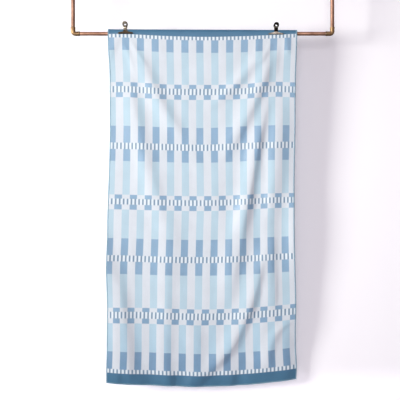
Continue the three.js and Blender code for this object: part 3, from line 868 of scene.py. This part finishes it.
def pipe(name, low, high, place, along):
    r, bevel, step, steps = rail["pipeRadius"], rail["endRound"], rail["endStep"], rail["pipeSteps"]
    profile = [(0.0, low), (r - bevel, low), (r - step, low + step), (r, low + bevel)]
    profile += [(r, low + bevel + (high - low - 2 * bevel) * i / steps) for i in range(1, steps)]
    profile += [(r, high - bevel), (r - step, high - step), (r - bevel, high), (0.0, high)]
    return turnProfile(name, profile, rail["pipeSides"], place, along)


# soldered elbow, measured from where the two pipe axes cross
elbow = {
    "leg": 26.5,
    "bend": 10.4,
    "body": 9.3,
    # the bead round each mouth: distance in from the mouth, radius
    "beadRows": [(0.0, 9.4), (0.15, 9.8), (0.5, 10.05), (1.0, 10.1), (2.6, 10.1), (3.0, 10.0),
                 (3.5, 9.55), (4.1, 9.33), (4.8, 9.3)],
    "socketGap": 0.3,
    "socketStop": 13.2,
    "pipeEnd": 13.6,
    "waterway": 7.0,
    "bendSteps": 14,
    "sides": 48,
    "sharpAngle": 50,
}


def elbowLoops(hand):
    e = elbow
    bore = rail["pipeRadius"] + e["socketGap"]
    corner = Vector((-hand * rail["dropperSpacing"] / 2, 0, rail["barHeight"]))

    def onLeg(leg, at, radius):
        upper = leg == "upper"
        centre = Vector((0, 0, at)) if upper else Vector((hand * at, 0, 0))
        outward = Vector((-hand, 0, 0)) if upper else Vector((0, 0, -1))
        return loopAt(centre, outward, radius)

    def onBend(turn, radius):
        angle = turn * math.pi / 2
        outward = Vector((-hand * math.cos(angle), 0, -math.sin(angle)))
        return loopAt(Vector((hand * e["bend"], 0, e["bend"])) + e["bend"] * outward, outward, radius)

    def loopAt(centre, outward, radius):
        angles = (2 * math.pi * i / e["sides"] for i in range(e["sides"]))
        side = Vector((0, 1, 0))
        return [corner + centre + radius * (math.cos(a) * outward + math.sin(a) * side) for a in angles]

    leg = e["leg"]
    outer = [(leg - back, radius) for back, radius in e["beadRows"]]
    inner = [(e["socketStop"], e["waterway"]), (e["socketStop"], bore), (leg, bore)]
    turns = [i / e["bendSteps"] for i in range(e["bendSteps"] + 1)]
    loops = [onLeg("upper", *row) for row in outer] + [onBend(t, e["body"]) for t in turns]
    loops += [onLeg("lower", *row) for row in outer[::-1] + inner[::-1]]
    loops += [onBend(t, e["waterway"]) for t in reversed(turns)] + [onLeg("upper", *row) for row in inner]
    return loops


# fillet of solder where each pipe enters its elbow
solder = {
    "width": 1.3,
    "height": 0.9,
    "unevenness": 0.22,
    "lumpScale": 7,
    "drip": 0.9,  # left on the inside of the corner
    "dripSpan": 0.35,
    "clearance": 0.02,
    "fromMouth": 0.12,
    "sides": 48,
    "sectionSides": 8,
}


def solderRing(hand, upper):
    s = solder
    axis = Vector((0, 0, 1)) if upper else Vector((hand, 0, 0))
    a = Vector((1, 0, 0)) if upper else Vector((0, 0, 1))
    b = Vector((0, 1, 0))
    corner = Vector((-hand * rail["dropperSpacing"] / 2, 0, rail["barHeight"]))
    centre = corner + axis * (elbow["leg"] + s["fromMouth"])
    inside = rail["pipeRadius"] + s["clearance"]
    loops = []
    for i in range(s["sides"]):
        angle = 2 * math.pi * i / s["sides"]
        spoke = math.cos(angle) * a + math.sin(angle) * b
        lump = 1 + s["unevenness"] * noise.noise(s["lumpScale"] * spoke + Vector((hand, upper, 0)))
        if not upper:
            turned = angle if angle < math.pi else 2 * math.pi - angle
            lump += s["drip"] * max(0.0, 1 - turned / s["dripSpan"])
        loop = []
        for k in range(s["sectionSides"] + 1):
            turn = math.pi * k / s["sectionSides"] / 2
            out = inside + s["height"] * lump * math.cos(turn)
            loop.append(centre + spoke * out + axis * s["width"] * lump * math.sin(turn))
        loop.append(centre + spoke * inside)
        loops.append(loop)
    return skin(loops, ring=True)


# ceiling flange with a collar for the dropper
flange = {
    "radius": 25.0,
    "thickness": 4.0,
    "edgeRound": 1.0,
    "edgeSteps": 6,
    "socketGap": 0.3,
    # the collar from its socket out: radius, distance below the flange's underside
    "collarRows": [(8.25, 0.0), (8.25, 13.7), (8.55, 14.0), (10.5, 14.0), (10.88, 13.85), (11.0, 13.5),
                   (11.0, 1.6), (11.4, 0.5), (12.5, 0.0)],
    "sides": 96,
    "sharpAngle": 40,
}


def flangePiece(name, x):
    f = flange
    thick, e, steps = f["thickness"], f["edgeRound"], f["edgeSteps"]
    profile = [(0.0, -thick)] + [(radius, -thick - down) for radius, down in f["collarRows"]]
    for i in range(steps + 1):
        angle = math.pi * i / steps
        rise = (thick - 2 * e) * (i > steps // 2)
        profile.append((f["radius"] - e + e * math.sin(angle), -thick + e - e * math.cos(angle) + rise))
    profile.append((0.0, 0.0))
    piece = turnProfile(name, profile, f["sides"], (x, 0, 0))
    sharpenBy(piece, f["sharpAngle"])
    return piece


def makeRail():
    barHalf = rail["dropperSpacing"] / 2 - elbow["pipeEnd"]
    bar = pipe("barPipe", -barHalf, barHalf, (0, 0, rail["barHeight"]), "X")
    settle(bar, copperFinishes["bar"], "copper", "rail_bar")
    top = -flange["thickness"] - flange["socketGap"]
    bottom = rail["barHeight"] + elbow["pipeEnd"]
    for side, hand in (("left", 1), ("right", -1)):
        x = -hand * rail["dropperSpacing"] / 2
        dropper = pipe(side + "Dropper", bottom, top, (x, 0, 0), "Z")
        settle(dropper, copperFinishes[side], "copper", "dropper_" + side)
        fitting = turnedOut(newMesh(side + "Elbow", *skin(elbowLoops(hand), ring=True)))
        sharpenBy(fitting, elbow["sharpAngle"])
        settle(fitting, elbowFinish, "elbow", "elbow_" + side)
        for upper in (True, False):
            name = side + ("Upper" if upper else "Lower") + "Solder"
            settle(turnedOut(newMesh(name, *solderRing(hand, upper))), solderFinish, "elbow")
        settle(flangePiece(side + "Flange", x), copperFinishes[side], "copper", "flange_" + side)


makeRail()
print("rail made")


# bulldog clip: sections of the bent jaw plate from the rolled lip up to the round head
clip = {
    "plate": 1.0,
    "stations": 88,
    "acrossSteps": 12,
    "holeRise": 36.6,
    "holeRadius": 5.6,
    "drillSides": 40,
    "drillReach": (2, 20),
    "edgeBevel": 0.16,
    "bevelSegments": 2,
    "bevelAngle": 50,
    "sharpAngle": 55,
    "neckCurl": 2.2,
    "curlRises": (8, 6),  # height where the neck begins to curl, and over how much it grows
    "curlEases": (30, 8),
    "curlEased": 0.55,
    "lipTop": 3,
}
clipSections = [  # (distance out from the bar's axis, height above it, half the width)
    (13.3, 0.6, 30.6), (14.0, -1.0, 31.0), (13.2, -2.7, 31.2), (11.6, -3.0, 31.3), (10.5, -1.7, 31.2),
    (10.3, 0.6, 30.7), (10.25, 2.0, 29.4), (10.2, 3.3, 23.0), (10.15, 4.6, 14.5), (9.95, 6.4, 10.0),
    (9.5, 9.2, 8.5), (8.6, 12.4, 7.8), (7.1, 16.4, 7.6), (5.65, 20.6, 7.6), (5.6, 24.0, 8.0), (6.8, 27.8, 9.0),
    (8.5, 32.0, 10.4), (10.3, 36.2, 11.0), (11.9, 40.2, 10.4), (13.2, 43.6, 8.4), (14.1, 46.2, 5.4),
    (14.5, 47.3, 2.4),
]
clipPlaces = [
    dict(side="left", x=-321.0, lift=2.4, lean=-3.0, lipDrop=1.6),
    dict(side="right", x=304.5, lift=-1.6, lean=2.5, lipDrop=0.4),
]


def jawPlate(name, facing, place):
    c, x, middle = clip, place["x"], rail["barHeight"] + place["lift"]
    table = np.array(clipSections)
    walked = np.concatenate([[0], np.cumsum(np.hypot(*np.diff(table[:, :2], axis=0).T))])
    stations = np.linspace(0, walked[-1], c["stations"])
    out, rise, half = (curveThrough(walked, table[:, k], stations) for k in range(3))
    runs = np.stack([np.gradient(out), np.gradient(rise)], axis=1)
    runs /= np.linalg.norm(runs, axis=1, keepdims=True)
    topRise = table[-1, 1]
    grown, eased = (smoothStep((rise - start) / span) for start, span in (c["curlRises"], c["curlEases"]))
    curls = c["neckCurl"] * grown * (1 - c["curlEased"] * eased)
    drops = place["lipDrop"] * smoothStep((c["lipTop"] - rise) / c["lipTop"])
    loops = []
    for o, r, h, curl, drop, (runOut, runUp) in zip(out, rise, half, curls, drops, runs):
        shift = place["lean"] * max(r, 0) / topRise
        upperSide, lowerSide = [], []
        for i in range(c["acrossSteps"] + 1):
            t = 2 * i / c["acrossSteps"] - 1
            back = curl * t * t
            for sign, line in ((1, upperSide), (-1, lowerSide)):
                off = sign * c["plate"] / 2 - back
                line.append((x + shift + t * h, facing * (o + off * runUp), middle + r - drop - off * runOut))
        loops.append(upperSide + lowerSide[::-1])
    plate = turnedOut(newMesh(name, *skin(loops)))
    near, far = c["drillReach"]
    eye = (x + place["lean"] * c["holeRise"] / topRise, 0, middle + c["holeRise"])
    profile = [(0, near), (c["holeRadius"], near), (c["holeRadius"], far), (0, far)]
    drill = turnProfile("drill", profile, c["drillSides"], eye, "Y")
    if facing < 0:
        for vertex in drill.data.vertices:
            vertex.co.y *= -1
        turnedOut(drill)
    cut = plate.modifiers.new("eye", "BOOLEAN")
    cut.object = drill
    cut.operation = "DIFFERENCE"
    cut.solver = "EXACT"
    applyModifiers(plate)
    bpy.data.objects.remove(drill)
    rounded = plate.modifiers.new("rounded", "BEVEL")
    rounded.width = c["edgeBevel"] * mm
    rounded.segments = c["bevelSegments"]
    rounded.limit_method = "ANGLE"
    rounded.angle_limit = math.radians(c["bevelAngle"])
    applyModifiers(plate)
    smoothAll(plate.data)
    sharpenBy(plate, c["sharpAngle"])
    side, end = place["side"], "front" if facing < 0 else "back"
    settle(plate, clipFinishes[side], "clip", f"clip_{side}_{end}")


# spring: a close coil of round wire between the two necks
spring = {
    "rise": 22.9,
    "radius": 4.0,
    "wire": 0.6,
    "length": 13.0,
    "turns": 10.0,
    "turnSteps": 28,
    "wireSides": 10,
}


def springTree():
    tree, ids, given, result = newTree("springCoil", [
        ("Start", "Geometry"), ("Radius", "Float"), ("Wire", "Float"), ("Length", "Float"), ("Turns", "Float"),
        ("Place", "Vector")], "Coil")
    helix = addNode(tree, "GeometryNodeCurveSpiral", {
        "Resolution": spring["turnSteps"], "Rotations": given.outputs["Turns"],
        "Start Radius": given.outputs["Radius"], "End Radius": given.outputs["Radius"],
        "Height": given.outputs["Length"]})
    section = addNode(tree, "GeometryNodeCurvePrimitiveCircle",
                      {"Resolution": spring["wireSides"], "Radius": given.outputs["Wire"]})
    wire = addNode(tree, "GeometryNodeCurveToMesh", {
        "Curve": helix.outputs[0], "Profile Curve": section.outputs[0], "Fill Caps": True})
    laid = addNode(tree, "GeometryNodeTransform", {
        "Geometry": wire.outputs[0], "Translation": given.outputs["Place"], "Rotation": (0, math.pi / 2, 0)})
    finishTree(tree, laid.outputs[0], springFinish, result)
    return tree, ids


springNodes, springIds = springTree()


def springPiece(place):
    piece = newMesh(place["side"] + "Spring", [(0, 0, 0)], [])
    coil = piece.modifiers.new("coil", "NODES")
    coil.node_group = springNodes
    shift = place["lean"] * spring["rise"] / clipSections[-1][1]
    middle = rail["barHeight"] + place["lift"]
    start = Vector((place["x"] + shift - spring["length"] / 2, 0, middle + spring["rise"]))
    for name, value in (("Radius", spring["radius"] * mm), ("Wire", spring["wire"] * mm),
                        ("Length", spring["length"] * mm), ("Turns", spring["turns"]), ("Place", mm * start)):
        coil[springIds[name]] = value
    applyModifiers(piece)
    smoothAll(piece.data)
    turnedOut(piece)
    settle(piece, springFinish, "spring", "spring_" + place["side"])


for place in clipPlaces:
    jawPlate(place["side"] + "ClipFront", -1, place)
    jawPlate(place["side"] + "ClipBack", 1, place)
    springPiece(place)
print("clips made")


# pale studio: a floor that curves up into a wall behind
studio = {
    "floorHeight": -2600.0,
    "wallDepth": 30.0,
    "wallLean": 105.0,
    "bendRadius": 600.0,
    "bendSteps": 16,
    "halfWidth": 6000.0,
    "frontReach": -7000.0,
    "wallTop": 400.0,
    "glow": 0.09,
    "paintedLowGlow": 0.26,  # painted light: the lower wall glows brighter, ending the towel's shadow above its hem
    "glowFades": (-1.66, -1.56),
    "colour": linear(252, 251, 252),
    "glowColour": linear(248, 242, 255),
}


def makeStudio():
    s = studio
    line = [(s["frontReach"], s["floorHeight"]), (s["wallDepth"] - s["bendRadius"], s["floorHeight"])]
    for i in range(1, s["bendSteps"] + 1):
        angle = 0.5 * math.pi * i / s["bendSteps"]
        line.append((s["wallDepth"] - s["bendRadius"] + s["bendRadius"] * math.sin(angle),
                     s["floorHeight"] + s["bendRadius"] * (1 - math.cos(angle))))
    line.append((s["wallDepth"] + s["wallLean"], s["wallTop"]))
    points = [(x, y, z) for y, z in line for x in (-s["halfWidth"], s["halfWidth"])]
    faces = [(2 * i, 2 * i + 1, 2 * i + 3, 2 * i + 2) for i in range(len(line) - 1)]  # facing up and forward
    backdrop = newMesh("studioBackdrop", points, faces)
    material, tree, shader = newMaterial("studioPaint")
    place = objectPlace(tree)
    colour = mixColour(tree, noiseAt(tree, place, 1.5, 2.0), dimmed(s["colour"], 0.985), s["colour"])
    tree.links.new(colour, shader.inputs["Base Color"])
    shader.inputs["Roughness"].default_value = 0.9
    shader.inputs["Emission Color"].default_value = s["glowColour"]
    height = addNode(tree, "ShaderNodeSeparateXYZ", {0: place}).outputs[2]
    # the wall glows evenly, and brighter low down as painted light
    glow = mapRange(tree, height, *s["glowFades"], s["paintedLowGlow"], s["glow"], interpolation_type="SMOOTHSTEP")
    tree.links.new(glow, shader.inputs["Emission Strength"])
    clear = addNode(tree, "ShaderNodeBsdfTransparent")  # seen through from behind, to show the cloth's back
    facing = addNode(tree, "ShaderNodeNewGeometry")
    mixed = addNode(tree, "ShaderNodeMixShader", {0: facing.outputs["Backfacing"], 1: shader.outputs[0],
                                                  2: clear.outputs[0]})
    tree.links.new(mixed.outputs[0], tree.nodes["Material Output"].inputs["Surface"])
    backdrop.data.materials.append(material)
    backdrop.visible_glossy = False  # the metal mirrors the dim room, not the wall close behind it
    backdrop.visible_shadow = False  # the lamp behind reaches the back of the cloth


makeStudio()

# soft light: a large window to the left in front, and an even room
lights = [
    dict(name="window", place=(-4300, -2300, -300), aim=(250, 0, -470), size=1500, spread=62, power=33.4,
         colour=(1.0, 1.0, 0.975)),
    dict(name="room", place=(-200, -4600, 500), aim=(0, 0, -500), size=2400, spread=66, power=9.6,
         colour=(1.0, 0.94, 1.0)),
    dict(name="behind", place=(1300, 3600, 200), aim=(0, 0, -800), size=2200, spread=60, power=4.0,
         colour=(1.0, 0.98, 0.96)),
]
roomGlow = {
    "colour": linear(250, 242, 252),
    "below": 0.06,
    "above": 0.42,
    "overhead": 0.12,
    "rises": (-0.6, 0.7),  # upward part of the direction over which the room gets brighter, then dimmer
    "falls": (0.7, 1.0),
}


def makeLights():
    for row in lights:
        light = bpy.data.lights.new(row["name"], "AREA")
        light.shape = "SQUARE"
        light.size = row["size"] * mm
        light.spread = math.radians(row["spread"])
        light.energy = row["power"]
        light.color = row["colour"]
        lamp = bpy.data.objects.new(row["name"], light)
        lamp.location = mm * Vector(row["place"])
        lamp.rotation_euler = (Vector(row["aim"]) - Vector(row["place"])).to_track_quat("-Z", "Y").to_euler()
        scene.collection.objects.link(lamp)
    world = bpy.data.worlds.new("room")
    world.use_nodes = True
    tree = world.node_tree
    glow = tree.nodes["Background"]
    glow.inputs["Color"].default_value = roomGlow["colour"]
    g = roomGlow
    direction = addNode(tree, "ShaderNodeTexCoord").outputs["Generated"]
    upwards = addNode(tree, "ShaderNodeSeparateXYZ", {0: direction}).outputs[2]
    rising = mapRange(tree, upwards, *g["rises"], g["below"], g["above"])
    falling = mapRange(tree, upwards, *g["falls"], 0.0, g["above"] - g["overhead"])
    tree.links.new(doMath(tree, "SUBTRACT", rising, falling), glow.inputs["Strength"])
    scene.world = world


makeLights()

# camera straight in front, level with the middle of the cloth
cameraSet = {
    "distance": 3500.0,
    "x": -11.25,
    "z": -872.7,
    "viewWidth": 1666.7,
    "sensor": 36.0,
}


def makeCamera():
    c = cameraSet
    lens = bpy.data.cameras.new("camera")
    lens.sensor_width = c["sensor"]
    lens.sensor_fit = "HORIZONTAL"
    lens.lens = c["sensor"] * c["distance"] / c["viewWidth"]
    lens.clip_end = 60.0
    camera = bpy.data.objects.new("camera", lens)
    camera.location = (c["x"] * mm, -c["distance"] * mm, c["z"] * mm)
    camera.rotation_euler = (math.pi / 2, 0, 0)
    scene.collection.objects.link(camera)
    scene.camera = camera


makeCamera()
scene.view_settings.view_transform = "Standard"
print("studio, lights and camera set")
